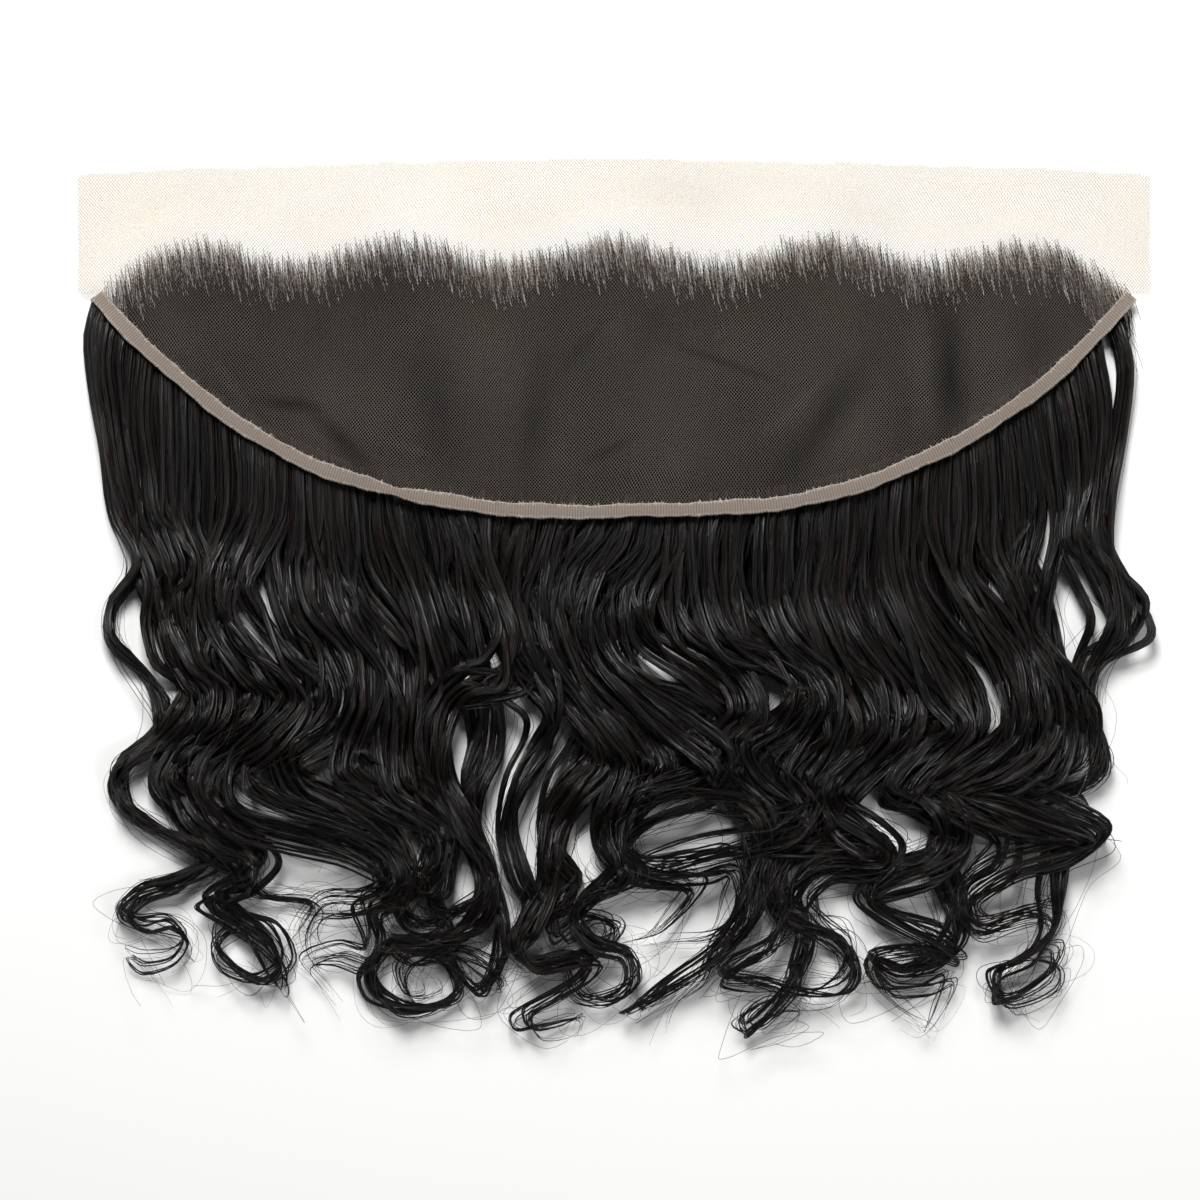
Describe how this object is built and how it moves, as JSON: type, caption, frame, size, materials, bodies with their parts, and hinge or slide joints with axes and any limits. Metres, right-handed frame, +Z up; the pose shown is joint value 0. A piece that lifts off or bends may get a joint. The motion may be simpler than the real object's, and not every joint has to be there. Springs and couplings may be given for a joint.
{
  "type": "lace frontal hairpiece",
  "caption": "Curly human hair frontal with a sheer lace base, a bare front lace strip and a curved woven edge band, lying flat with its scalp side up.",
  "frame": {"origin": "middle of the piece's outline seen from above, on the surface it lies on", "axes": "+Z up, away from the surface, out of the scalp side of the lace; +Y towards the bare front edge of the lace, so the hair falls towards -Y; +X to the right in the picture"},
  "size_m": [0.349, 0.2858, 0.0152],
  "materials": {
    "lace": "sheer lace net",
    "tape": "woven cotton tape",
    "hair": "glossy off-black hair"
  },
  "bodies": {
    "root": {"lace_base": "lace", "edge_band": "tape", "hair": "hair"}
  },
  "joints": []
}
